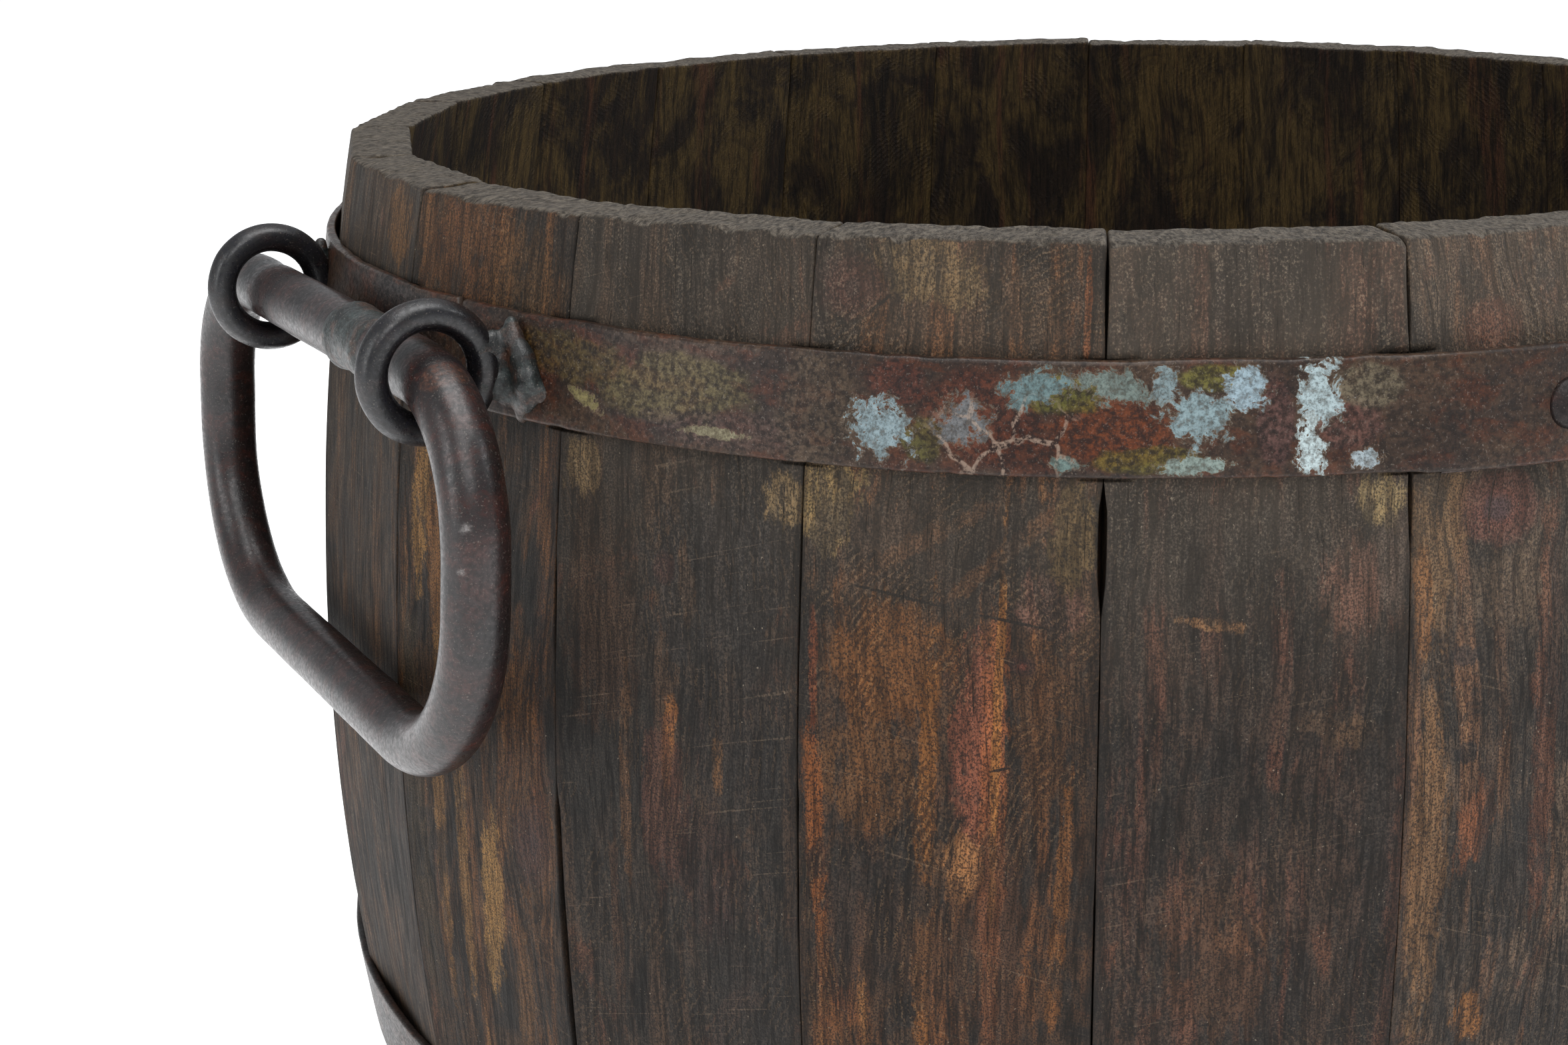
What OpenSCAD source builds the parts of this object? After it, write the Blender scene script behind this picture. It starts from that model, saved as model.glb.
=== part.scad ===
// Coopered timber tub with two iron hoops and two hinged drop handles.
// Millimetres. +Z is up and the origin is the middle of the base, on the floor.
// The handles hang on -X and +X. Angles round the tub are counted from the left
// handle (-X), counter-clockwise seen from above, so -Y is at 90 degrees.

/* [Tub] */
// Radius of the mouth, to the seams between the flat staves
rim_r = 250; // [235:1:265]
// Height of the tub
tub_h = 350; // [330:1:380]
// How much the belly is wider than the mouth, in radius
bulge = 18.6; // [16:0.1:20]
// Thickness of a stave
stave_t = 19.2; // [16:0.1:22]
// Number of staves
stave_count = 22; // [20:2:24]
// Angle from the left handle to the first seam
seam_angle = 5.6; // [0:0.1:8]

/* [Head] */
// Thickness of the bottom boards
head_t = 18; // [14:0.5:22]
// Height of the underside of the bottom boards above the floor
head_z = 24; // [18:1:34]
// Depth of the groove that holds the boards, at the middle of a stave
croze_depth = 5; // [3:0.1:7]
// Number of bottom boards
board_count = 5; // [4:1:7]
// Diameter of the dowels between the boards
dowel_d = 8; // [6:0.5:10]
// Length of a dowel
dowel_len = 40; // [30:1:50]
// Distance of the dowels from the middle of a board
dowel_x = 90; // [60:1:120]

/* [Hoops] */
// Width of the hoop iron
hoop_w = 28; // [24:0.5:32]
// Thickness of the hoop iron
hoop_t = 2.5; // [2:0.1:3]
// How far the hoops bite into the seams' edges
hoop_bite = 1; // [0.6:0.1:1.4]
// Distance from the rim down to the upper hoop
upper_gap = 27.5; // [24:0.5:32]
// Distance from the floor up to the lower hoop
lower_gap = 52; // [46:1:60]
// Angle at which the upper hoop's inner end starts, and its outer end begins to cover it
upper_lap_angle = 72; // [65:1:110]
// Angle at which the lower hoop's joint starts
lower_lap_angle = 245; // [200:1:250]
// Length of a lap joint, as an angle
lap_angle = 32; // [28:1:36]
// How far the hoop's inner end shows below its outer end
lap_drop = 1; // [1:0.5:4]
// Diameter of a rivet head
rivet_head_d = 13; // [11:0.5:15]
// Height of a rivet head
rivet_head_h = 3.5; // [3:0.1:4.5]
// Diameter of a rivet shank
rivet_d = 6; // [5:0.1:7]

/* [Handles] */
// Diameter of the handle's round bar
bar_d = 18; // [17:0.1:18.5]
// Width of a handle, between the middles of its legs
handle_w = 224; // [220:1:226]
// Height of a handle, between the middles of its top and bottom bars
handle_h = 106.5; // [104:0.5:108]
// Bend radius of the top corners, to the middle of the bar
top_bend_r = 38.5; // [37:0.5:40]
// Bend radius of the bottom corners, to the middle of the bar
low_bend_r = 53.5; // [48:0.5:58]
// Distance of the hinge axis from the tub's axis
axis_r = 270; // [269.8:0.1:271]
// Distance of the hinge axis below the rim
axis_drop = 41.8; // [41:0.1:43]
// Outward lean of a handle that rests against the belly
lean = 3.5; // [3.4:0.1:5]
// Where the handle's weld starts, from the middle of the top bar
collar_from = 15; // [10:1:20]
// Length of the handle's weld
collar_len = 33; // [25:1:36]
// How far the handle's weld stands proud of the bar
collar_proud = 1; // [0.6:0.1:1.4]

/* [Eyes] */
// Diameter of the eye's wire
wire_d = 9.2; // [8.6:0.1:9.4]
// Bore of an eye
eye_bore_d = 21.6; // [21.4:0.1:22]
// How far the bar's middle lies below the eye's
bar_sag = 0.9; // [0.4:0.1:1]
// Offset of the front eye from the handle's middle
front_eye = 78; // [74:0.5:79]
// Offset of the rear eye from the handle's middle
rear_eye = 60; // [55:0.5:64]

/* [Hidden] */
$fn = 96;
BEND_FN = 720;
GAP = 0.05;
CROZE_GAP = 0.3;
// The layers of a lap joint run into each other a little
LAP_SINK = 0.2;
TONGUE_IN = 5;

stave_step = 360 / stave_count;
stave_half = stave_step / 2;
mid_z = tub_h / 2;
// The outer face of a stave, seen from its edge, is an arc through rim, belly and base
rim_face = rim_r * cos(stave_half);
belly_face = (rim_r + bulge) * cos(stave_half);
sag = belly_face - rim_face;
bend_r = (mid_z * mid_z + sag * sag) / (2 * sag);
bend_x = belly_face - bend_r;

upper_z = tub_h - upper_gap - hoop_w;
lower_z = lower_gap;
croze_r = face_x(head_z + head_t / 2, stave_t) + croze_depth;
head_r = croze_r - CROZE_GAP;
board_w = 2 * head_r / board_count;

eye_r = (eye_bore_d + wire_d) / 2;
axis_z = tub_h - axis_drop;
eye_z = axis_z + bar_sag;
strap_r = seat_r(upper_z, hoop_w / 2) + hoop_t;
tongue_angle = 26;
rivet_angles = [8, 17];

function two_digits(i) = str(i < 10 ? "0" : "", i);
// Distance of a stave's face from the tub's axis at height z, at depth t below its outer face
function face_x(z, t = 0) = bend_x + sqrt(pow(bend_r - t, 2) - pow(z - mid_z, 2));
// Radius of the seams' outer edges at height z
function seam_r(z) = face_x(z) / cos(stave_half);
function hoop_inner(z) = seam_r(z) - hoop_bite;
// Inner radius of the hoop whose lower edge is at height z, on its cone at "up" above that edge
function seat_r(z, up) = hoop_inner(z) + (hoop_inner(z + hoop_w) - hoop_inner(z)) * up / hoop_w;
// Distance of the upper hoop's outer face from the plane through the axis, at offset s
function strap_x(s) = sqrt(strap_r * strap_r - s * s);

STAVES = [for (i = [1:stave_count]) str("stave_", two_digits(i))];
BOARDS = [for (i = [1:board_count]) str("bottom_board_", i)];

// Turns a shape drawn towards +X to an angle round the tub
module at_angle(a) {
    rotate([0, 0, 180 + a]) children();
}

// ---- Timber ----

// Edge view of a bent stave: x is the distance from the tub's axis, y the height
module stave_edge() {
    intersection() {
        translate([bend_x, mid_z]) difference() {
            circle(r = bend_r, $fn = BEND_FN);
            circle(r = bend_r - stave_t, $fn = BEND_FN);
        }
        translate([rim_r / 2, 0]) square([rim_r, tub_h]);
    }
}

// Room for a hoop: everything outside its inner face
module hoop_seat(z) {
    rotate_extrude() hoop_section(z, 0, hoop_w, -lap_drop, hoop_w);
}

// Between its two radial seams a stave is a flat plank, bent along its height
module stave(i) {
    reach = 2 * rim_r;
    color(i % 3 == 0 ? "saddlebrown" : i % 3 == 1 ? "sienna" : "#4a352a")
    difference() {
        at_angle(seam_angle + (i - 0.5) * stave_step) intersection() {
            rotate([90, 0, 0]) linear_extrude(height = rim_r, center = true) stave_edge();
            linear_extrude(height = tub_h) polygon([
                [0, 0],
                [reach, -reach * tan(stave_half)],
                [reach, reach * tan(stave_half)]
            ]);
        }
        translate([0, 0, head_z]) cylinder(r = croze_r, h = head_t + GAP);
        hoop_seat(upper_z);
        hoop_seat(lower_z);
    }
}

// Dowels across the joint between board i and the next one
module dowel_pair(i, d, len) {
    for (side = [-1, 1])
        translate([side * dowel_x, -head_r + i * board_w, head_z + head_t / 2])
            rotate([90, 0, 0]) cylinder(d = d, h = len, center = true);
}

module bottom_board(i) {
    color("#3b2a1f")
    difference() {
        intersection() {
            translate([0, 0, head_z]) cylinder(r = head_r, h = head_t);
            translate([-rim_r, -head_r + (i - 1) * board_w, 0]) cube([2 * rim_r, board_w, tub_h]);
        }
        if (i > 1) dowel_pair(i - 1, dowel_d + 2 * GAP, dowel_len + 2 * GAP);
        if (i < board_count) dowel_pair(i, dowel_d + 2 * GAP, dowel_len + 2 * GAP);
    }
}

module bottom_dowels() {
    color("burlywood")
    for (i = [1:board_count - 1]) dowel_pair(i, dowel_d, dowel_len);
}

// ---- Hoops ----

// Section of a band on the cone of the hoop whose lower edge is at height z: it stands "out" from
// the wood, is t thick, and reaches from "low" to "high" above z
module hoop_section(z, out, t, low, high) {
    foot = seat_r(z, low) + out;
    head = seat_r(z, high) + out;
    polygon([[foot, z + low], [foot + t, z + low], [head + t, z + high], [head, z + high]]);
}

// A layer of strap over part of a hoop, from one angle to another
module hoop_layer(z, from, to, out, t, low, high) {
    at_angle(from) rotate_extrude(angle = to - from) hoop_section(z, out, t, low, high);
}

// The strap is doubled over its lap joint, and the inner end, a tongue, shows a little below it
module hoop(z, lap) {
    color("#5b463c")
    difference() {
        union() {
            rotate_extrude() hoop_section(z, 0, hoop_t, 0, hoop_w);
            hoop_layer(z, lap, lap + lap_angle, hoop_t - LAP_SINK, hoop_t + LAP_SINK, 0, hoop_w);
            hoop_layer(z, lap, lap + tongue_angle, LAP_SINK, hoop_t - 2 * LAP_SINK, -lap_drop, TONGUE_IN);
        }
        for (a = rivet_angles) hoop_rivet_frame(z, lap + a)
            cylinder(d = rivet_d + 2 * GAP, h = 6 * hoop_t, center = true);
    }
}

// Puts the outer face of a lap joint's outer layer at z = 0, facing +z
module hoop_rivet_frame(z, a) {
    taper = atan((hoop_inner(z) - hoop_inner(z + hoop_w)) / hoop_w);
    at_angle(a) translate([seat_r(z, hoop_w / 2) + 2 * hoop_t, 0, z + hoop_w / 2])
        rotate([0, 90 - taper, 0]) children();
}

module hoop_rivets(z, lap) {
    ball_r = (pow(rivet_head_d / 2, 2) + pow(rivet_head_h, 2)) / (2 * rivet_head_h);
    color("#2d2522")
    for (a = rivet_angles) hoop_rivet_frame(z, lap + a) {
        translate([0, 0, 2 * GAP - 2 * hoop_t]) cylinder(d = rivet_d, h = 2 * hoop_t + 1);
        intersection() {
            translate([0, 0, rivet_head_h - ball_r]) sphere(r = ball_r);
            translate([0, 0, GAP]) cylinder(d = 2 * rivet_head_d, h = rivet_head_d);
        }
    }
}

// ---- Handles and their eyes, drawn on +X with the front eye towards +Y ----

// Moves a shape drawn on +X to the left or the right of the tub
module on_side(side) {
    rotate([0, 0, side == "left" ? 180 : 0]) children();
}

module eye(s) {
    color("#2a2320")
    difference() {
        translate([axis_r, s, eye_z]) rotate([90, 0, 0]) rotate_extrude()
            translate([eye_r, 0]) circle(d = wire_d);
        rotate_extrude() hoop_section(upper_z, 0, hoop_t + GAP, 0, hoop_w);
    }
}

// Lumps of weld between an eye and the hoop; "out" is the sign that points away from the handle's middle
module eye_weld(s, out) {
    near_x = strap_x(s + out) + 3.2;
    foot = s + out * 7;
    foot_x = strap_x(foot) + 4.5;
    color("#3a4a4a") {
        for (z = [-4, 7]) translate([near_x, s + out, eye_z + z]) sphere(d = 9.2);
        for (z = [-6, 4]) translate([foot_x, foot, eye_z + z]) sphere(d = 11.4);
    }
}

// A quarter bend of the bar in the handle's plane: 0 is the quarter between +Y and +Z
module bend(y, z, r, quarter) {
    translate([0, y, z]) rotate([90, 0, 90]) rotate([0, 0, quarter * 90])
        rotate_extrude(angle = 90) translate([r, 0]) circle(d = bar_d);
}

// Puts the middle of a handle's top bar at the origin, with the handle hanging along -Z
module handle_frame(side) {
    on_side(side) translate([axis_r, 0, axis_z]) rotate([0, -lean, 0]) children();
}

module handle(side) {
    top_y = handle_w / 2 - top_bend_r;
    low_y = handle_w / 2 - low_bend_r;
    low_z = low_bend_r - handle_h;
    leg = handle_h - top_bend_r - low_bend_r;
    color("#3d2826")
    handle_frame(side) {
        rotate([90, 0, 0]) cylinder(d = bar_d, h = 2 * top_y, center = true);
        bend(top_y, -top_bend_r, top_bend_r, 0);
        bend(-top_y, -top_bend_r, top_bend_r, 1);
        for (s = [-1, 1]) translate([0, s * handle_w / 2, low_z]) cylinder(d = bar_d, h = leg);
        bend(-low_y, low_z, low_bend_r, 2);
        bend(low_y, low_z, low_bend_r, 3);
        translate([0, 0, -handle_h]) rotate([90, 0, 0]) cylinder(d = bar_d, h = 2 * low_y, center = true);
    }
}

// The weld that closes the handle's ring: a sleeve round the top bar with sloping ends
module handle_weld(side) {
    r = bar_d / 2;
    slope = 4;
    color("#56585a")
    handle_frame(side) translate([0, collar_from, 0]) rotate([-90, 0, 0]) rotate_extrude() polygon([
        [r, 0],
        [r + collar_proud, slope],
        [r + collar_proud, collar_len - slope],
        [r, collar_len]
    ]);
}

for (i = [1:stave_count])
    stave(i);
for (i = [1:board_count])
    bottom_board(i);
bottom_dowels();
hoop(upper_z, upper_lap_angle);  // upper_hoop
hoop(lower_z, lower_lap_angle);  // lower_hoop
hoop_rivets(upper_z, upper_lap_angle);  // upper_hoop_rivets
hoop_rivets(lower_z, lower_lap_angle);  // lower_hoop_rivets
for (side = ["left", "right"]) {
    on_side(side) eye(front_eye);
    on_side(side) eye(-rear_eye);
    on_side(side) eye_weld(front_eye, 1);
    on_side(side) eye_weld(-rear_eye, -1);
    handle(side);
    handle_weld(side);
}
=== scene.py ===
import math

import bmesh
import bpy
import numpy as np
from mathutils import Matrix, Vector


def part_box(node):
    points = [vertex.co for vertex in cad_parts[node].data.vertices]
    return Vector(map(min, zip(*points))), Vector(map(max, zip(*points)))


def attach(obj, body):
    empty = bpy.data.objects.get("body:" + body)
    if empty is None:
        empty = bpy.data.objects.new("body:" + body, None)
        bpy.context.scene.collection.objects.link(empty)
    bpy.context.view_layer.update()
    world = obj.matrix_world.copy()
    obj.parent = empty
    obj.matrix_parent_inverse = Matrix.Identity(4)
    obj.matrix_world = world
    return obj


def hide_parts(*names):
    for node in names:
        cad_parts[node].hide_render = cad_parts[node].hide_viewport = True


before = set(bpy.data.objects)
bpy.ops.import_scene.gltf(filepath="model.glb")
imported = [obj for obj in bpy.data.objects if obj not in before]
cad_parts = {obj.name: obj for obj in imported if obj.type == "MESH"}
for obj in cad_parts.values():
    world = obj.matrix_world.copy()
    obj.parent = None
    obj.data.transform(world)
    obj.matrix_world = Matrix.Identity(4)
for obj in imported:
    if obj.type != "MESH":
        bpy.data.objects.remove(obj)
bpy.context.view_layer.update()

# ---- Sizes, in millimetres, and angles, in degrees, as the CAD model has them ----

MM = 0.001
TUB_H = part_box("stave_01")[1].z / MM
STAVE_COUNT = 22
STAVE_STEP = 360 / STAVE_COUNT
SEAM_ANGLE = 5.6
STAVE_T = 19.2
RIM_R = 250
BULGE = 18.6
HEAD_Z, HEAD_T, HEAD_R = 24, 18, 242.5
BOARD_COUNT = 5
HOOP_W, HOOP_T, HOOP_BITE = 28, 2.5, 1
UPPER_Z, LOWER_Z = 294.5, 52
UPPER_LAP, LOWER_LAP = 72, 245
LAP_ANGLE, LAP_DROP, TONGUE_ANGLE = 32, 1, 26
RIVET_ANGLES = (8, 17)
RIVET_HEAD_R, RIVET_HEAD_H = 6.5, 3.5
BAR_R = 9
HANDLE_W, HANDLE_H = 224, 106.5
TOP_BEND_R, LOW_BEND_R = 38.5, 53.5
AXIS_R, AXIS_Z, LEAN = 270, 308.2, 3.5
EYE_R, WIRE_R, EYE_Z = 15.4, 4.6, 309.1
EYE_PLACES = {"front": 78, "rear": -60}
COLLAR_FROM, COLLAR_TO = 15, 48

STAVE_HALF = math.radians(STAVE_STEP / 2)
MID_Z = TUB_H / 2
RIM_FACE = RIM_R * math.cos(STAVE_HALF)
BELLY_FACE = (RIM_R + BULGE) * math.cos(STAVE_HALF)
SAG = BELLY_FACE - RIM_FACE
BEND_R = (MID_Z ** 2 + SAG ** 2) / (2 * SAG)
BEND_X = BELLY_FACE - BEND_R
HOOP_ARC_R = 262


def face_x(z, depth=0.0):
    """Distance from the tub's axis to a stave's face, at a height and a depth below its outer face."""
    return BEND_X + np.sqrt((BEND_R - depth) ** 2 - (z - MID_Z) ** 2)


def seat_r(z, up):
    """Inner radius, "up" above its lower edge, of the hoop whose lower edge is at z."""
    low = face_x(z) / math.cos(STAVE_HALF) - HOOP_BITE
    high = face_x(z + HOOP_W) / math.cos(STAVE_HALF) - HOOP_BITE
    return low + (high - low) * up / HOOP_W


def outward(angle):
    """Unit vectors that point out from the axis and on round it. Angles start at the left handle."""
    a = np.radians(180 + np.asarray(angle, float))
    zero = np.zeros_like(a)
    return np.stack([np.cos(a), np.sin(a), zero], -1), np.stack([-np.sin(a), np.cos(a), zero], -1)


# ---- Numbers that vary smoothly ----

def smooth_noise(points, size, seed):
    """Value noise from -1 to 1 at each point, with features of about that size in millimetres."""
    table = np.random.default_rng(seed).uniform(-1, 1, (32, 32, 32))
    grid = np.reshape(points, (-1, 3)) / size + 100
    cell = np.floor(grid).astype(int)
    part = grid - cell
    part = part * part * (3 - 2 * part)
    value = np.zeros(len(grid))
    for corner in np.ndindex(2, 2, 2):
        at = (cell + corner) % 32
        weight = np.where(np.array(corner) == 1, part, 1 - part).prod(axis=-1)
        value += weight * table[at[:, 0], at[:, 1], at[:, 2]]
    return value.reshape(np.shape(points)[:-1])


def step(value, low, high):
    """0 below low, 1 above high, and smooth between them."""
    t = np.clip((np.asarray(value, float) - low) / (high - low), 0, 1)
    return t * t * (3 - 2 * t)


def spread(low, high, count, even=0.25):
    """Values from low to high that lie closer together near both ends."""
    t = np.linspace(0, 1, count + 1)
    t = even * t + (1 - even) * (1 - np.cos(np.pi * t)) / 2
    return low + (high - low) * t


# ---- Meshes ----

def quads(index, flip=False):
    """Faces between neighbours in a table of vertex numbers."""
    corners = np.stack([index[:-1, :-1], index[1:, :-1], index[1:, 1:], index[:-1, 1:]], -1)
    faces = corners.reshape(-1, 4)
    return faces[:, ::-1] if flip else faces


def block(xs, ys, zs):
    """The points on the six faces of a block, and the quads between them."""
    inside = np.zeros((len(xs), len(ys), len(zs)), bool)
    inside[1:-1, 1:-1, 1:-1] = True
    index = np.full(inside.shape, -1)
    index[~inside] = np.arange((~inside).sum())
    points = np.stack(np.meshgrid(xs, ys, zs, indexing="ij"), -1)[~inside]
    faces = [
        quads(index[0], True), quads(index[-1]),
        quads(index[:, 0]), quads(index[:, -1], True),
        quads(index[:, :, 0], True), quads(index[:, :, -1]),
    ]
    return points, np.concatenate(faces)


def rounded(points, low, high, radius):
    """Rounds the edges of a block. Gives its moved points and the way each one faces."""
    radius = np.asarray(radius, float).reshape(-1, 1)
    core = np.clip(points, np.array(low) + radius, np.array(high) - radius)
    out = points - core
    out /= np.linalg.norm(out, axis=1, keepdims=True)
    return core + out * radius, out


def swept(rings, closed):
    """Quads over rings of points, with both ends closed by fans unless the rings join up."""
    count, around = rings.shape[:2]
    index = np.arange(count * around).reshape(count, around)
    wrapped = np.concatenate([index, index[:, :1]], 1)
    if closed:
        wrapped = np.concatenate([wrapped, wrapped[:1]], 0)
    points = rings.reshape(-1, 3)
    faces = quads(wrapped).tolist()
    if not closed:
        for ring, flip in ((index[0], True), (index[-1], False)):
            hub = len(points)
            points = np.concatenate([points, points[ring].mean(0, keepdims=True)])
            pairs = zip(ring, np.roll(ring, -1))
            faces += [[int(b), int(a), hub] if flip else [int(a), int(b), hub] for a, b in pairs]
    return points, faces


def piece(name, points, faces, material, node, body="tub", slot=None, flip=False, **layers):
    """A mesh from points in millimetres that stands for a CAD node. Layers are values at its points."""
    mesh = bpy.data.meshes.new(name)
    faces = [[int(v) for v in (f[::-1] if flip else f)] for f in faces]
    mesh.from_pydata((np.asarray(points) * MM).tolist(), [], faces)
    mesh.shade_smooth()
    for layer, values in layers.items():
        values = np.asarray(values, np.float32)
        kind = "FLOAT_VECTOR" if values.ndim == 2 else "FLOAT"
        field = mesh.attributes.new(layer, kind, "POINT")
        field.data.foreach_set("vector" if values.ndim == 2 else "value", values.ravel())
    mesh.materials.append(material)
    obj = bpy.data.objects.new(name, mesh)
    bpy.context.scene.collection.objects.link(obj)
    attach(obj, body)
    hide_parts(node)
    return obj


# ---- Materials ----

def linear(colour):
    """A six-digit sRGB colour as linear RGBA."""
    parts = [int(colour[i:i + 2], 16) / 255 for i in (0, 2, 4)]
    return [p / 12.92 if p <= 0.04045 else ((p + 0.055) / 1.055) ** 2.4 for p in parts] + [1.0]


class Shader:
    """A material whose nodes are made one call at a time. Each call gives the socket to go on from."""

    def __init__(self, name):
        self.material = bpy.data.materials.new(name)
        self.material.use_nodes = True
        self.tree = self.material.node_tree
        self.surface = self.tree.nodes["Principled BSDF"]

    def put(self, socket, value):
        if isinstance(value, bpy.types.NodeSocket):
            self.tree.links.new(value, socket)
        elif isinstance(value, str):
            socket.default_value = linear(value)
        else:
            socket.default_value = value

    def node(self, kind, inputs, output=0, **settings):
        made = self.tree.nodes.new("ShaderNode" + kind)
        for key, value in settings.items():
            setattr(made, key, value)
        for key, value in inputs.items():
            self.put(made.inputs[key], value)
        return made.outputs[output]

    def layer(self, name, output="Vector"):
        return self.node("Attribute", {}, output, attribute_name=name)

    def math(self, operation, a, b=0.0):
        return self.node("Math", {0: a, 1: b}, operation=operation)

    def times(self, a, b):
        return self.math("MULTIPLY", a, b)

    def centred(self, value, size):
        """A value from 0 to 1 as one from -size / 2 to size / 2."""
        return self.node("Math", {0: value, 1: size, 2: -size / 2}, operation="MULTIPLY_ADD")

    def vector(self, operation, a, b):
        return self.node("VectorMath", {0: a, 1: b}, operation=operation)

    def noise(self, at, size, detail=3.0, rough=0.55, twist=0.0, seed=0.0, output=0):
        """Noise whose features are of that size along the three axes of "at"."""
        scale = tuple(1 / s for s in size)
        shifted = self.node("VectorMath", {0: at, 1: scale, 2: (seed, 0.37 * seed, 0.73 * seed)},
                            operation="MULTIPLY_ADD")
        return self.node("TexNoise", {"Vector": shifted, "Scale": 1.0, "Detail": detail,
                                      "Roughness": rough, "Distortion": twist}, output)

    def band(self, value, low, high, to_low=0.0, to_high=1.0):
        """A value stretched from low..high to another range, smoothly and within it."""
        return self.node("MapRange", {"Value": value, "From Min": low, "From Max": high,
                                      "To Min": to_low, "To Max": to_high},
                         interpolation_type="SMOOTHSTEP")

    def mix(self, amount, a, b, blend="MIX"):
        made = self.tree.nodes.new("ShaderNodeMix")
        made.data_type = "RGBA"
        made.blend_type = blend
        self.put(made.inputs["Factor"], amount)
        self.put(made.inputs["A"], a)
        self.put(made.inputs["B"], b)
        return made.outputs["Result"]

    def spot(self, at, centre, size, tilt=0.0):
        """Distance from a spot's middle over its size: 1 is its edge."""
        turned = self.node("Mapping", {"Vector": at, "Location": centre, "Scale": size,
                                       "Rotation": (0, math.radians(tilt), 0)}, vector_type="TEXTURE")
        return self.node("VectorMath", {0: turned}, "Value", operation="LENGTH")

    def finish(self, colour, rough, height, depth_mm, shine):
        bump = self.node("Bump", {"Height": height, "Distance": depth_mm * MM, "Strength": 1.0})
        self.put(self.surface.inputs["Base Color"], colour)
        self.put(self.surface.inputs["Roughness"], rough)
        self.put(self.surface.inputs["Normal"], bump)
        self.surface.inputs["Specular IOR Level"].default_value = shine
        return self.material


def patches(shade, colour, at, ragged, grain, spots):
    """Lays patches of another colour over a surface. A spot is (x, z, half width, half height, tilt,
    colour, strength), and maybe its place and reach along y."""
    for x, z, wide, high, tilt, tint, strength, *along_y in spots:
        y, deep = along_y or (0.0, 12.0)
        distance = shade.spot(at, (x, y, z), (wide, deep, high), tilt)
        edge = shade.math("ADD", distance, ragged)
        mask = shade.band(edge, 0.78, 1.08, strength * 0.9, 0.0)
        tinted = shade.mix(0.75, tint, grain, "MULTIPLY")
        colour = shade.mix(mask, colour, tinted)
    return colour


# Between two marks of the saw
SAW_PITCH = 1.9


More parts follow.
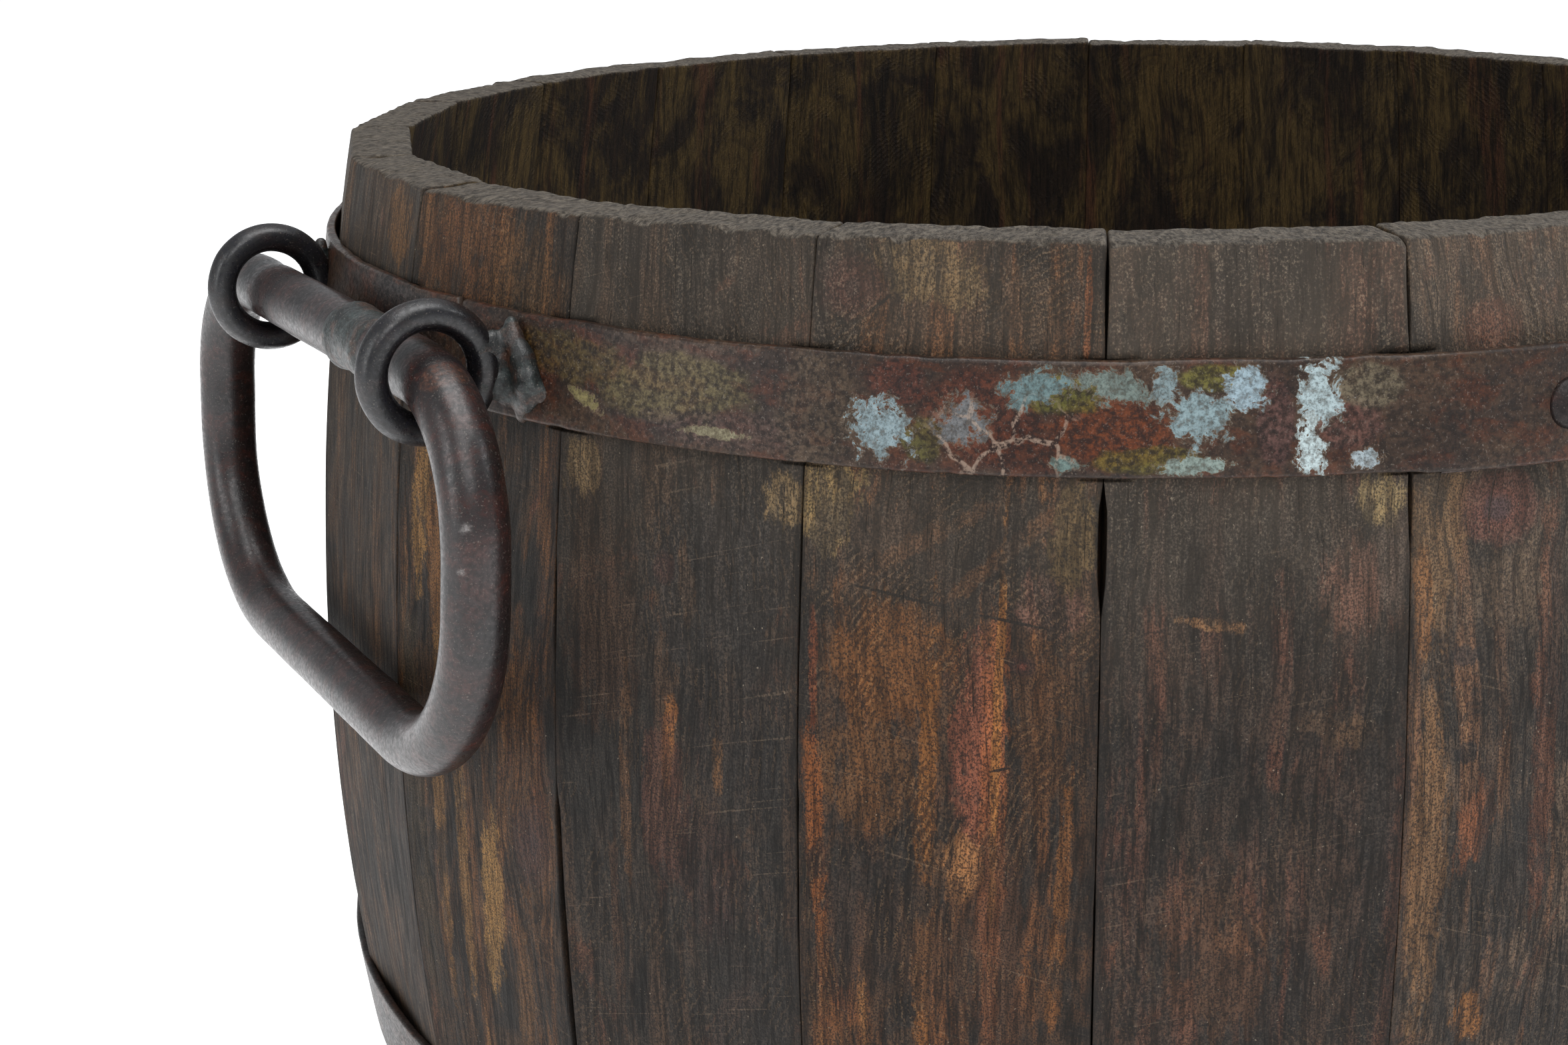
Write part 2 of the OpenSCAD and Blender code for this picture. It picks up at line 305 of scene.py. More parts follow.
def timber(name, seed, dark, mid, warm, pale, warmth=0.5, dust=0.35, saw=0.5,
           spots=(), knots=(), lines=()):
    """Old sawn and worn wood, with its grain along the third axis of the layer "plank".
    A knot is (x, z, half width, half height, tilt, colour, middle's colour), and a line, which is
    a crack, the same without the colours."""
    shade = Shader(name)
    plank = shade.layer("plank")
    end = shade.layer("end", "Fac")
    # The grain wanders a little and bends round the knots
    sway = shade.noise(plank, (60, 40, 120), 2.0, 0.5, seed=seed, output=1)
    bend = shade.node("VectorMath", {0: sway, 1: (16, 10, 0), 2: plank}, operation="MULTIPLY_ADD")
    for x, z, wide, high, *_ in knots:
        near = shade.spot(plank, (x, 0, z), (wide * 2.4, 14, high * 2.4))
        near = shade.band(near, 0.0, 1.0, -0.55, 0.0)
        away = shade.vector("SUBTRACT", plank, (x, 0, z))
        push = shade.node("VectorMath", {0: away, "Scale": near}, operation="SCALE")
        bend = shade.vector("ADD", bend, push)
    fine = shade.noise(bend, (1.7, 3, 20), 5.0, 0.75, 0.3, seed=seed + 1)
    broad = shade.noise(bend, (9, 12, 120), 3.0, 0.6, 0.4, seed=seed + 2)
    area = shade.noise(bend, (26, 30, 46), 5.0, 0.72, 0.9, seed=seed + 3)
    fibre = shade.noise(plank, (0.55, 0.6, 2.2), 3.0, 0.75, seed=seed + 4)
    grit = shade.noise(plank, (0.5, 0.5, 0.6), 2.0, 0.65, seed=seed + 5)
    x_of = shade.node("SeparateXYZ", {0: plank}, 0)
    z_of = shade.node("SeparateXYZ", {0: plank}, 2)
    depth = shade.node("SeparateXYZ", {0: plank}, 1)

    colour = shade.mix(shade.band(area, 0.42, 0.56), dark, mid)
    colour = shade.mix(shade.times(shade.band(broad, 0.50, 0.62), warmth), colour, warm)
    worn_through = shade.times(shade.band(area, 0.58, 0.64), warmth * 0.8)
    colour = shade.mix(worn_through, colour, "6e412a")
    bleached = shade.times(shade.band(broad, 0.63, 0.72), warmth * 0.6)
    colour = shade.mix(bleached, colour, pale)
    grain = shade.mix(shade.band(fine, 0.38, 0.60), "625b55", "ffffff")
    threads = shade.mix(shade.band(fibre, 0.35, 0.65), "6f6862", "ffffff")
    grain = shade.mix(0.55, grain, threads, "MULTIPLY")
    colour = shade.mix(0.95, colour, grain, "MULTIPLY")

    ragged = shade.centred(shade.noise(plank, (4.5, 5, 9), 5.0, 0.78, seed=seed + 6), 2.2)
    ragged = shade.math("ADD", ragged, shade.centred(fine, 1.2))
    colour = patches(shade, colour, plank, ragged, grain, spots)
    charred = shade.noise(bend, (13, 12, 40), 5.0, 0.75, 0.5, seed=seed + 12)
    charred = shade.band(charred, 0.53, 0.60, 0.0, 0.72)
    colour = shade.mix(charred, colour, shade.mix(0.8, "242322", grain, "MULTIPLY"))

    # Knots: rings round a darker middle
    for x, z, wide, high, tilt, tint, heart in knots:
        distance = shade.math("ADD", shade.spot(plank, (x, 0, z), (wide, 14, high), tilt),
                              shade.times(ragged, 0.35))
        rings = shade.math("SINE", shade.times(distance, 11.0))
        ringed = shade.mix(shade.band(rings, -1.0, 1.0, 0.0, 0.35), tint, "33241d")
        ringed = shade.mix(0.6, ringed, grain, "MULTIPLY")
        ringed = shade.mix(shade.band(distance, 0.15, 0.5, 1.0, 0.0), ringed, heart)
        colour = shade.mix(shade.band(distance, 0.7, 1.2, 0.7, 0.0), colour, ringed)

    # Saw marks: arcs of a big blade, stronger in some areas
    hub_x = -130.0 if seed % 2 < 1 else 110.0
    blade = shade.vector("SUBTRACT", plank, (hub_x, 0, 120 + 23 * (seed % 5)))
    reach = shade.node("VectorMath", {0: blade}, "Value", operation="LENGTH")
    reach = shade.math("ADD", reach, shade.times(area, 9.0))
    reach = shade.math("ADD", reach, shade.times(fibre, 0.9))
    marks = shade.math("SINE", shade.times(reach, 2 * math.pi / SAW_PITCH))
    sawn = shade.band(shade.noise(plank, (15, 30, 18), 4.0, 0.65, seed=seed + 7), 0.46, 0.60)
    sawn = shade.times(shade.times(sawn, shade.band(grit, 0.40, 0.56)), saw)
    line = shade.times(shade.band(marks, 0.3, 1.0), sawn)
    colour = shade.mix(shade.times(line, 0.30), colour, "8a7358", "SCREEN")
    gouge = shade.times(shade.band(marks, -0.3, -1.0), sawn)
    colour = shade.mix(shade.times(gouge, 0.85), colour, "151210")

    # Slanting scratches and short dark splits
    slant = shade.node("VectorRotate", {"Vector": plank, "Angle": math.radians(62 + 17 * (seed % 3))},
                       rotation_type="Y_AXIS")
    scratch = shade.band(shade.noise(slant, (0.8, 1, 34), 2.0, 0.5, seed=seed + 8), 0.66, 0.74)
    colour = shade.mix(shade.times(scratch, 0.16), colour, "9a8a78")
    split = shade.band(shade.noise(bend, (0.7, 1.5, 16), 2.0, 0.4, seed=seed + 9), 0.66, 0.74)
    colour = shade.mix(shade.times(split, 0.75), colour, "14110f")
    for x, z, wide, high, tilt in lines:
        crack = shade.spot(plank, (x, 0, z), (wide, 12, high), tilt)
        colour = shade.mix(shade.band(crack, 0.6, 1.0, 0.92, 0.0), colour, "0d0b0a")

    # Fibres and dust, thickest on the rim and down to just below the upper hoop
    colour = shade.mix(shade.band(fibre, 0.40, 0.7, 0.0, 0.45), colour, "b39a80", "SOFT_LIGHT")
    colour = shade.mix(shade.band(grit, 0.54, 0.40, 0.0, 0.8), colour, "1c1713", "MULTIPLY")
    up = shade.band(z_of, 215.0, 335.0, 0.18, 1.0)
    loose = shade.times(shade.band(grit, 0.52, 0.70), shade.band(fine, 0.38, 0.62))
    powder = shade.times(loose, shade.times(up, dust * 0.8))
    settled = shade.band(z_of, 215.0, 318.0, 0.18, 1.0)
    film = shade.times(settled, shade.times(area, dust * 1.1))
    colour = shade.mix(film, colour, "605a53")
    colour = shade.mix(powder, colour, "94897a")
    specks = shade.band(shade.noise(plank, (0.9, 0.9, 1.1), 1.0, 0.5, seed=seed + 10), 0.76, 0.80)
    colour = shade.mix(shade.times(specks, 0.3), colour, "b5ab9c")

    # Grimy arrises, and a dark inside
    arris = shade.math("ABSOLUTE", x_of)
    grime = shade.math("ADD", arris, shade.times(grit, 2.4))
    colour = shade.mix(shade.band(grime, 36.2, 38.6, 0.0, 0.5), colour, "171412")
    stain = shade.mix(shade.band(area, 0.40, 0.60), "271d15", "5a4b2b")
    stain = shade.mix(shade.band(broad, 0.56, 0.70, 0.0, 0.7), stain, "5c3b2a")
    stain = shade.mix(0.9, stain, grain, "MULTIPLY")
    colour = shade.mix(shade.band(depth, 4.0, 12.0, 0.0, 0.88), colour, stain)
    # End grain: gray, open and rough
    rays = shade.noise(plank, (1.1, 2.6, 3), 4.0, 0.75, seed=seed + 11)
    ends = shade.mix(shade.band(rays, 0.35, 0.68), "211e1b", "69655f")
    ends = shade.mix(shade.band(grit, 0.45, 0.7, 0.0, 0.5), ends, "443b31")
    colour = shade.mix(shade.band(end, 0.35, 0.85), colour, ends)

    height = shade.math("ADD", shade.times(fine, 0.9), shade.times(fibre, 0.55))
    height = shade.math("ADD", height, shade.times(grit, 0.35))
    height = shade.math("SUBTRACT", height, shade.times(split, 0.8))
    height = shade.math("ADD", height, shade.times(shade.times(marks, sawn), 0.4))
    height = shade.math("ADD", height, shade.times(shade.times(rays, end), 1.6))
    rough = shade.band(fine, 0.3, 0.7, 0.78, 0.6)
    deep = shade.mix(1.0, colour, "e6ddd2", "MULTIPLY")
    return shade.finish(deep, rough, height, 0.42, shine=0.2)


def iron(name, layer, seed, base, rust, dark, rusty, gloss, speckle, bump_mm=0.25, shine=0.45,
         spots=(), flakes=(), veins=()):
    """Old painted and rusted iron. A flake or a vein is (x, z, half width, half height, tilt, colour)."""
    shade = Shader(name)
    at = shade.layer(layer)
    cloud = shade.noise(at, (30, 8, 16), 4.0, 0.6, 0.6, seed=seed)
    blotch = shade.noise(at, (11, 6, 6), 5.0, 0.65, 0.4, seed=seed + 1)
    pit = shade.noise(at, (1.3, 1.3, 1.3), 4.0, 0.65, seed=seed + 2)
    grit = shade.noise(at, (0.55, 0.55, 0.55), 2.0, 0.6, seed=seed + 3)
    colour = shade.mix(shade.band(cloud, 0.38, 0.62), dark, base)
    colour = shade.mix(shade.times(shade.band(blotch, 0.48, 0.62), rusty), colour, rust)
    grain = shade.mix(shade.band(pit, 0.35, 0.65), "857f7a", "ffffff")
    ragged = shade.math("ADD", shade.centred(blotch, 1.1), shade.centred(pit, 0.35))
    colour = patches(shade, colour, at, ragged, grain, spots)
    colour = shade.mix(0.9, colour, grain, "MULTIPLY")
    cover = None
    tear = shade.centred(shade.noise(at, (4.5, 4.5, 4.5), 5.0, 0.72, 0.6, seed=seed + 6), 3.0)
    tear = shade.math("ADD", tear, shade.centred(pit, 1.2))
    worn_skin = shade.band(pit, 0.3, 0.5, 0.55, 0.95)
    for x, z, wide, high, tilt, tint in flakes:
        distance = shade.spot(at, (x, 0, z), (wide, 12, high), tilt)
        torn = shade.math("ADD", distance, tear)
        rim = shade.band(torn, 0.98, 1.10, 1.0, 0.0)
        skin = shade.band(torn, 0.84, 0.98, 1.0, 0.0)
        colour = shade.mix(shade.times(rim, 0.25), colour, "7d6a55")
        tinted = shade.mix(0.7, tint, grain, "MULTIPLY")
        colour = shade.mix(shade.times(skin, worn_skin), colour, tinted)
        cover = skin if cover is None else shade.math("MAXIMUM", cover, skin)
    wander = shade.noise(at, (9, 9, 9), 2.0, 0.5, seed=seed + 5, output=1)
    drift = shade.node("VectorMath", {0: wander, 1: (9, 9, 9), 2: at}, operation="MULTIPLY_ADD")
    for x, z, wide, high, tilt, tint in veins:
        cells = shade.node("TexVoronoi", {"Vector": drift, "Scale": 0.085}, feature="DISTANCE_TO_EDGE")
        thread = shade.band(cells, 0.02, 0.055, 1.0, 0.0)
        near = shade.band(shade.spot(at, (x, 0, z), (wide, 12, high), tilt), 0.7, 1.1, 1.0, 0.0)
        near = shade.times(near, shade.band(pit, 0.40, 0.52))
        colour = shade.mix(shade.times(thread, shade.times(near, 0.6)), colour, tint)
    powder = shade.times(shade.band(grit, 0.60, 0.72), speckle)
    colour = shade.mix(powder, colour, "a89d92")
    dirt = shade.times(shade.band(grit, 0.46, 0.34), 0.45)
    colour = shade.mix(dirt, colour, "1a1615")
    height = shade.math("ADD", shade.times(pit, 0.8), shade.times(grit, 0.3))
    height = shade.math("ADD", height, shade.times(blotch, 0.6))
    if cover is not None:
        height = shade.math("ADD", height, shade.times(cover, 0.45))
    rough = shade.band(pit, 0.3, 0.7, gloss + 0.16, gloss - 0.04)
    if cover is not None:
        rough = shade.math("ADD", rough, shade.times(cover, 0.2))
    return shade.finish(colour, rough, height, bump_mm, shine)


# ---- Staves ----

# Where a seam has opened: (seam, lower end, upper end, width), all but the first in millimetres
OPEN_SEAMS = [
    (2, 96, 196, 1.7), (2, 226, 262, 0.9), (3, 196, 214, 0.6), (4, 258, 294, 2.0), (4, 322, 349, 0.5),
    (5, 272, 300, 1.1), (5, 322, 347, 0.6), (9, 120, 210, 1.2), (13, 180, 270, 1.0), (18, 90, 190, 1.3),
]


def seam_gap(seam, z, depth):
    """Half the width of the gap at a seam. Seam k lies before stave k."""
    seam = (seam - 1) % STAVE_COUNT + 1
    along = np.stack([np.zeros_like(z), depth, z], -1)
    wide = 0.06 + 0.18 * np.clip(smooth_noise(along, (1, 9, 30), 300 + seam), 0, 1)
    wide += 0.06 * smooth_noise(along, (1, 3, 4), 340 + seam)
    for where, low, high, width in OPEN_SEAMS:
        if where == seam:
            wide += width / 2 * step(z, low, low + 14) * step(z, high, high - 9)
    return np.clip(wide, 0.05, 2) * (1 - step(depth, 5, 10)) + 0.01


# Half the width of a stave's blank, before it is fitted between its seams
BLANK_HALF = 36.0


def stave(number, material):
    far = BLANK_HALF
    seed = 10 * number
    own = np.random.default_rng(seed)
    # Rows of points lie exactly on the hoops' edges and not close to them
    edges = np.concatenate([
        [z - LAP_DROP - 0.04, z - LAP_DROP, z, z + HOOP_W / 2, z + HOOP_W, z + HOOP_W + 0.04]
        for z in (LOWER_Z, UPPER_Z)
    ])
    clear = [z for z in spread(0, TUB_H, 112) if all(abs(z - edge) > 0.35 for edge in edges)]
    rows = np.sort(np.concatenate([clear, edges]))
    # Those at the front of the photo have the finest mesh
    across = spread(-far, far, 72 if number <= 5 else 44)
    points, faces = block(across, spread(0, STAVE_T, 14), rows)
    top = step(points[:, 2], TUB_H - 16, TUB_H - 2)
    worn = 0.45 + 0.25 * smooth_noise(points, (40, 60, 22), seed) + 0.8 * top
    points, facing = rounded(points, (-far, 0, 0), (far, STAVE_T, TUB_H), worn)
    s, depth, z = points.T.copy()
    inward = facing[:, 1]
    depth += inward * (0.28 * smooth_noise(points, (24, 400, 70), seed + 1)
                       + 0.10 * smooth_noise(points, (6, 400, 16), seed + 2) - 0.1)
    # The rim is cut unevenly, and its outer edge is chipped
    flat = np.stack([s, depth, np.zeros_like(s)], -1)
    drop = own.uniform(0.0, 1.0) + own.uniform(-0.4, 0.4) * s / far
    drop = drop + 0.35 * smooth_noise(flat, (7, 7, 1), seed + 3)
    drop = drop + 0.22 * smooth_noise(flat, (2.2, 2.6, 1), seed + 4)
    chips = np.clip(smooth_noise(flat, (5, 6, 1), seed + 5) - 0.25, 0, 1) * step(depth, 4.5, 0)
    z -= np.clip(0.35 + drop + 1.6 * chips, 0, 4) * step(points[:, 2], TUB_H - 9, TUB_H - 1)
    z += 0.3 * np.clip(smooth_noise(flat, (8, 8, 1), seed + 6), 0, 1) * step(points[:, 2], 6, 0)
    face = face_x(z, depth)
    wide = face * math.tan(STAVE_HALF)
    left, right = -wide + seam_gap(number, z, depth), wide - seam_gap(number + 1, z, depth)
    s = left + (right - left) * (s / far + 1) / 2
    for low in (LOWER_Z, UPPER_Z):
        seat = seat_r(low, z - low) - 0.06
        over = np.clip(np.hypot(face, s) / seat, 1, None)
        inside = (points[:, 2] > low - LAP_DROP - 0.01) & (points[:, 2] < low + HOOP_W + 0.01)
        face, s = np.where(inside, face / over, face), np.where(inside, s / over, s)
    out, round_it = outward(SEAM_ANGLE + (number - 0.5) * STAVE_STEP)
    place = face[:, None] * out + s[:, None] * round_it + z[:, None] * np.array([0, 0, 1])
    piece(f"stave_{number:02d}_plank", place, faces, material, f"stave_{number:02d}", slot="stave_wood",
          plank=np.stack([s, depth, z], -1), end=np.abs(facing[:, 2]))


# What shows on a stave: its tones, then spots, knots and cracks by place (x across, z up)
STAVES = {
    22: dict(dark="33291f", mid="4d3b28", warm="6b4a26", pale="8c6a3a", warmth=0.7, dust=0.2, saw=0.2,
        spots=[
        (20, 337, 12, 12, 0, "8a6028", 0.7), (28, 150, 9, 90, 0, "27221e", 0.7)]),
    1: dict(dark="2c241d", mid="4b3723", warm="7a5229", pale="a5814c", warmth=0.75, dust=0.16, saw=0.15,
        spots=[
        (-26, 262, 4.5, 26, 2, "a57f45", 0.8), (-18, 248, 5, 30, -2, "8d6231", 0.75),
        (-10, 334, 22, 16, 0, "7c4f22", 0.6), (27, 248, 8, 13, 0, "23211f", 0.9),
        (31, 215, 3, 40, 2, "5c3a22", 0.6), (-20, 168, 3, 60, 2, "8f6c3c", 0.8),
        (-9, 172, 3, 62, 2, "987443", 0.8), (4, 148, 5.5, 30, 5, "a8854f", 0.9),
        (-32, 170, 6, 70, 0, "4b4335", 0.7), (16, 110, 5, 40, 4, "6f5130", 0.8),
        (14, 330, 16, 14, 0, "6e5230", 0.5)],
        knots=[(26, 174, 9, 13, 8, "4b322e", "33242a")]),
    2: dict(dark="2a2826", mid="3a322c", warm="56402e", pale="7b634c", warmth=0.55, dust=0.35, saw=0.45,
        spots=[
        (12, 262, 22, 28, 14, "2b2d31", 0.9), (20, 225, 16, 34, 0, "2c2b2c", 0.8),
        (22, 130, 14, 60, 0, "282829", 0.85), (-29, 286, 6, 8, 0, "907c5a", 0.9),
        (-22, 240, 11, 26, 0, "4a3629", 0.7), (4, 258, 2.6, 12, -6, "7e6148", 0.7),
        (-1, 217, 2.4, 13, 4, "a06a35", 0.8), (-3, 198, 8, 26, 0, "5c3a30", 0.7),
        (-15, 205, 2.2, 30, 0, "6c4f36", 0.8), (14, 212, 2, 9, 0, "7c5936", 0.8),
        (33, 284, 7, 7, -30, "8d7a58", 0.9), (-20, 150, 2, 40, 0, "5f4636", 0.6),
        (10, 180, 10, 20, 0, "3f2a29", 0.5)],
        knots=[(-3, 262, 3.2, 4.4, 0, "45292a", "2a1a1c")],
        lines=[(-20.3, 186, 1.1, 5.2, 3), (20, 192, 0.9, 0.9, 0)]),
    3: dict(dark="2d2825", mid="543d2a", warm="8c592b", pale="a67d4a", warmth=0.6, dust=0.4, saw=0.8,
        spots=[
        (0, 276, 36, 22, 0, "2d2a27", 0.95), (-20, 274, 12, 15, 10, "4f4036", 0.8),
        (-33, 287, 12, 9, -24, "ab9463", 0.95), (-30, 279, 5, 9, 0, "97835b", 0.85),
        (-8, 276, 24, 2.6, -30, "6d503a", 0.75), (14, 275, 22, 2.4, -42, "6d4d33", 0.75),
        (26, 262, 9, 8, 12, "7d5b51", 0.9), (30, 279, 6, 15, 6, "77643f", 0.8),
        (-14, 244, 17, 17, -10, "825424", 0.8), (-20, 215, 14, 16, -14, "6e4c29", 0.75),
        (-5, 195, 3, 70, 1.5, "8a5a25", 0.9), (8, 224, 6.5, 30, 2, "955a45", 0.9),
        (12, 205, 4, 60, 1, "a8663c", 0.8), (13, 232, 1.3, 60, 1, "b07a3c", 0.8),
        (24, 232, 8, 26, 0, "5b3d22", 0.8), (3, 193, 7.5, 10, 3, "a8794c", 0.95),
        (29.5, 182, 2.2, 40, 3, "84572a", 0.85), (-33.5, 200, 3.0, 34, -3, "8d5424", 0.95),
        (-34, 240, 1.3, 20, 0, "7a4020", 0.8), (-20, 178, 12, 22, 0, "3a2f2a", 0.85),
        (-26.5, 338, 9, 8, 0, "4a3634", 0.6), (-7, 342, 16, 8, 28, "8f7b57", 0.8),
        (31.5, 334, 1.1, 14, 0, "9a5a2c", 0.8), (18, 334, 10, 10, 0, "5c4a3c", 0.6),
        (-2, 170, 12, 20, 0, "4a3526", 0.7), (14, 170, 8, 40, 0, "5c3f2c", 0.7)],
        knots=[(-26, 337, 6.5, 7.5, 30, "523029", "33201f"), (19, 247, 3.4, 2.6, 0, "3f2624", "5a2d26")],
        lines=[(-19, 333.5, 0.5, 4.6, 52), (14, 220, 3.4, 0.5, -16), (-12, 262.5, 16, 0.5, 10),
               (16, 258, 12, 0.5, 8)]),
    4: dict(dark="2b2726", mid="493931", warm="6f4738", pale="8c6b50", warmth=0.7, dust=0.6, saw=0.35,
        spots=[
        (-12, 275, 24, 16, 0, "3b3835", 0.85), (14, 282, 16, 16, 0, "474340", 0.8),
        (30.5, 288, 6.5, 7, 0, "b7a478", 0.95), (-10, 258, 8.5, 1.7, 8, "a07a55", 0.9),
        (24, 267, 8, 13, -8, "7c594d", 0.85), (33, 272, 4, 15, 0, "5f5550", 0.8),
        (-8, 171, 15, 24, -10, "64452f", 0.6), (-2, 176, 7, 5, 0, "8d6447", 0.5),
        (22, 231, 11, 4.5, 12, "6e5741", 0.75), (8, 236, 16, 12, 0, "3c3029", 0.7),
        (-31, 255, 4, 60, 0, "282726", 0.85), (32, 215, 5, 50, 0, "2a2a2b", 0.8),
        (-2, 205, 20, 16, 0, "38302b", 0.6)]),
    5: dict(dark="3a342f", mid="66574a", warm="8a6448", pale="b18d66", warmth=0.7, dust=0.45, saw=0.4,
        spots=[
        (-30, 282, 8, 26, 0, "8d7150", 0.85), (-34, 262, 3, 14, 0, "9a6a3a", 0.8),
        (-31, 196, 6, 50, 1, "8a6a48", 0.85), (-17, 202, 5, 12, 12, "97603f", 0.85),
        (-5, 190, 6, 30, 10, "2a2b2d", 0.85), (-16, 148, 5, 8, 0, "9c6a33", 0.85),
        (-22, 247, 4.5, 3, 0, "23262e", 0.8), (-21, 222, 5, 3, 0, "24262b", 0.8),
        (-8, 262, 16, 10, 6, "6c5c4c", 0.7), (-12, 235, 3, 40, 4, "4a3c33", 0.6),
        (2, 230, 4, 60, 0, "82523c", 0.6)],
        knots=[(-12.6, 283, 11, 9, 12, "865249", "5a454c"), (-13.4, 326, 8, 7, 0, "83513f", "6f4236")]),
}
PLAIN = [
    dict(dark="2d2723", mid="47382c", warm="6d4a2c", pale="8e6c45", warmth=0.55, dust=0.35, saw=0.6),
    dict(dark="2a2828", mid="3b3431", warm="58412f", pale="7c604a", warmth=0.45, dust=0.45, saw=0.4),
    dict(dark="33291f", mid="523d28", warm="7e5529", pale="a3804c", warmth=0.7, dust=0.3, saw=0.3),
    dict(dark="2f2929", mid="48372f", warm="6e4535", pale="8d6650", warmth=0.5, dust=0.4, saw=0.7),
]


def plain_stave(number):
    """Tones, spots and maybe a knot for a stave that has none of its own in the list."""
    own = np.random.default_rng(900 + number)
    tones = dict(PLAIN[number % len(PLAIN)])
    tints = ("94754e", "7a4c3c", "2a2a2b", "7c5226", "5c4a3a", "8f5d42")
    tones["spots"] = [
        (own.uniform(-30, 30), own.uniform(95, 345), own.uniform(2, 13), own.uniform(8, 55),
         own.uniform(-10, 10), tints[own.integers(len(tints))], own.uniform(0.6, 0.9)) for _ in range(9)
    ]
    if own.random() < 0.6:
        tones["knots"] = [(
            own.uniform(-20, 20), own.uniform(110, 280), own.uniform(5, 10), own.uniform(6, 13),
            own.uniform(-20, 20), "74453a", "4a2f2c")]
    return tones


for number in range(1, STAVE_COUNT + 1):
    looks = STAVES.get(number) or plain_stave(number)
    stave(number, timber(f"stave_{number:02d}_wood", seed=number * 7.3 % 50, **looks))


# ---- Bottom boards ----

# How far each board's top face stands up or lies low
BOARD_LIFTS = (0.1, -0.15, 0.25, 0.0, -0.2)
# How near to the rim, as a part of the radius, the outer boards' straight edges may come
BOARD_EDGE = 0.985


def bottom_board(number, material):
    wide = 2 * HEAD_R / BOARD_COUNT
    low = -HEAD_R + (number - 1) * wide
    near = BOARD_EDGE * HEAD_R
    points, faces = block(spread(0, wide, 24), spread(0, HEAD_T, 8), spread(-HEAD_R, HEAD_R, 90))
    points, facing = rounded(points, (0, 0, -HEAD_R), (wide, HEAD_T, HEAD_R), 0.9)
    across, depth, along = points.T.copy()
    bow = 0.35 * smooth_noise(points, (18, 400, 80), 700 + number) + BOARD_LIFTS[number - 1]
    depth += facing[:, 1] * bow * step(-facing[:, 1], 0, 0.5)
    y = np.clip(low + 0.25 + across * (wide - 0.5) / wide, -near, near)
    x = along / HEAD_R * np.sqrt(HEAD_R ** 2 - y ** 2)
    place = np.stack([x, y, HEAD_Z + HEAD_T - depth], -1)
    piece(f"bottom_board_{number}_plank", place, faces, material, f"bottom_board_{number}",
          slot="bottom_wood", flip=True, plank=np.stack([across - wide / 2, depth, along], -1),
          end=np.abs(facing[:, 2]))


for number in range(1, BOARD_COUNT + 1):
    bottom_board(number, timber(
        f"bottom_wood_{number}", seed=3.1 * number + 60, dark="1f1a16", mid="31271f", warm="4a3522",
        pale="5e4930", dust=0.8, saw=0.3))


# ---- Hoops and rivets ----

def hoop(name, low, lap, material, notch=None):
    """A strap that runs once round, steps out over its own lower-set end and covers it."""
    corner = 1.05
    high = HOOP_W
    profile = []
    small = corner * 0.5
    for middle_out, middle_up, start in (
            (HOOP_T - corner, corner, -90), (HOOP_T - corner, high - corner, 0),
            (small, high - small, 90), (small, small, 180)):
        bend = corner if middle_out > 1 else small
        for k in range(5):
            a = math.radians(start + 22.5 * k)
            profile.append((middle_out + bend * math.cos(a), middle_up + bend * math.sin(a)))
        if start in (-90, 90):
            rows = np.linspace(corner, high - corner, 9)[1:-1]
            rows = rows if start < 0 else rows[::-1]
            profile += [(HOOP_T if start < 0 else 0.0, row) for row in rows]
    profile = np.array(profile)
    sweep = np.arange(lap + 0.6, lap + 360 + LAP_ANGLE + 0.01, 0.5)
    if notch:
        middle, half_width, notch_depth = notch
        low_side, high_side = middle - half_width, middle + half_width
        cuts = [low_side, low_side + 0.03, high_side - 0.03, high_side]
        sweep = np.sort(np.concatenate([sweep, cuts]))
    out = np.repeat(profile[None, :, 0], len(sweep), 0)
    up = np.repeat(profile[None, :, 1], len(sweep), 0)
    angle = np.repeat(sweep[:, None], len(profile), 1)
    layer = np.stack([np.radians(angle) * HOOP_ARC_R, out, up], -1)
    wave = 0.16 + 0.16 * smooth_noise(layer * (1, 0, 1), (70, 1, 60), int(lap))
    dent = 0.10 * smooth_noise(layer * (1, 0, 1), (9, 1, 8), int(lap) + 1)
    hem = 0.22 * smooth_noise(layer * (1, 0, 0.03), (24, 1, 1), int(lap) + 2)
    nick = np.clip(smooth_noise(layer * (1, 0, 0.03), (3.5, 1, 1), int(lap) + 3) - 0.55, 0, 1)
    if notch:
        cut = (angle > middle - half_width + 0.01) & (angle < middle + half_width - 0.01)
        up = np.where(cut, up * (high - notch_depth) / high, up)
    turn = angle - lap
    rise = step(turn, 357.2, 359.8) * (HOOP_T + 0.15) + step(turn, 356, 360) * 0.1
    drop = LAP_DROP * (1 - step(turn, TONGUE_ANGLE, TONGUE_ANGLE + 5))
    height = up + hem * step(up, 0, 8) + 0.5 * hem - drop
    height = height - 0.8 * nick * (step(up, 20, 28) - step(up, 8, 0))
    radius = seat_r(low, height) + out + (wave + dent) * step(out, -0.2, 1.2) + rise
    way, _ = outward(angle)
    rings = way * radius[..., None] + (low + height)[..., None] * np.array([0, 0, 1])
    points, faces = swept(rings, closed=False)
    values = np.concatenate([layer.reshape(-1, 3), layer[:1].mean(1), layer[-1:].mean(1)])
    piece(f"{name}_strap", points, faces, material, name, slot="hoop_iron", band=values)
    rivets(name, low, lap, f"{name}_rivets")


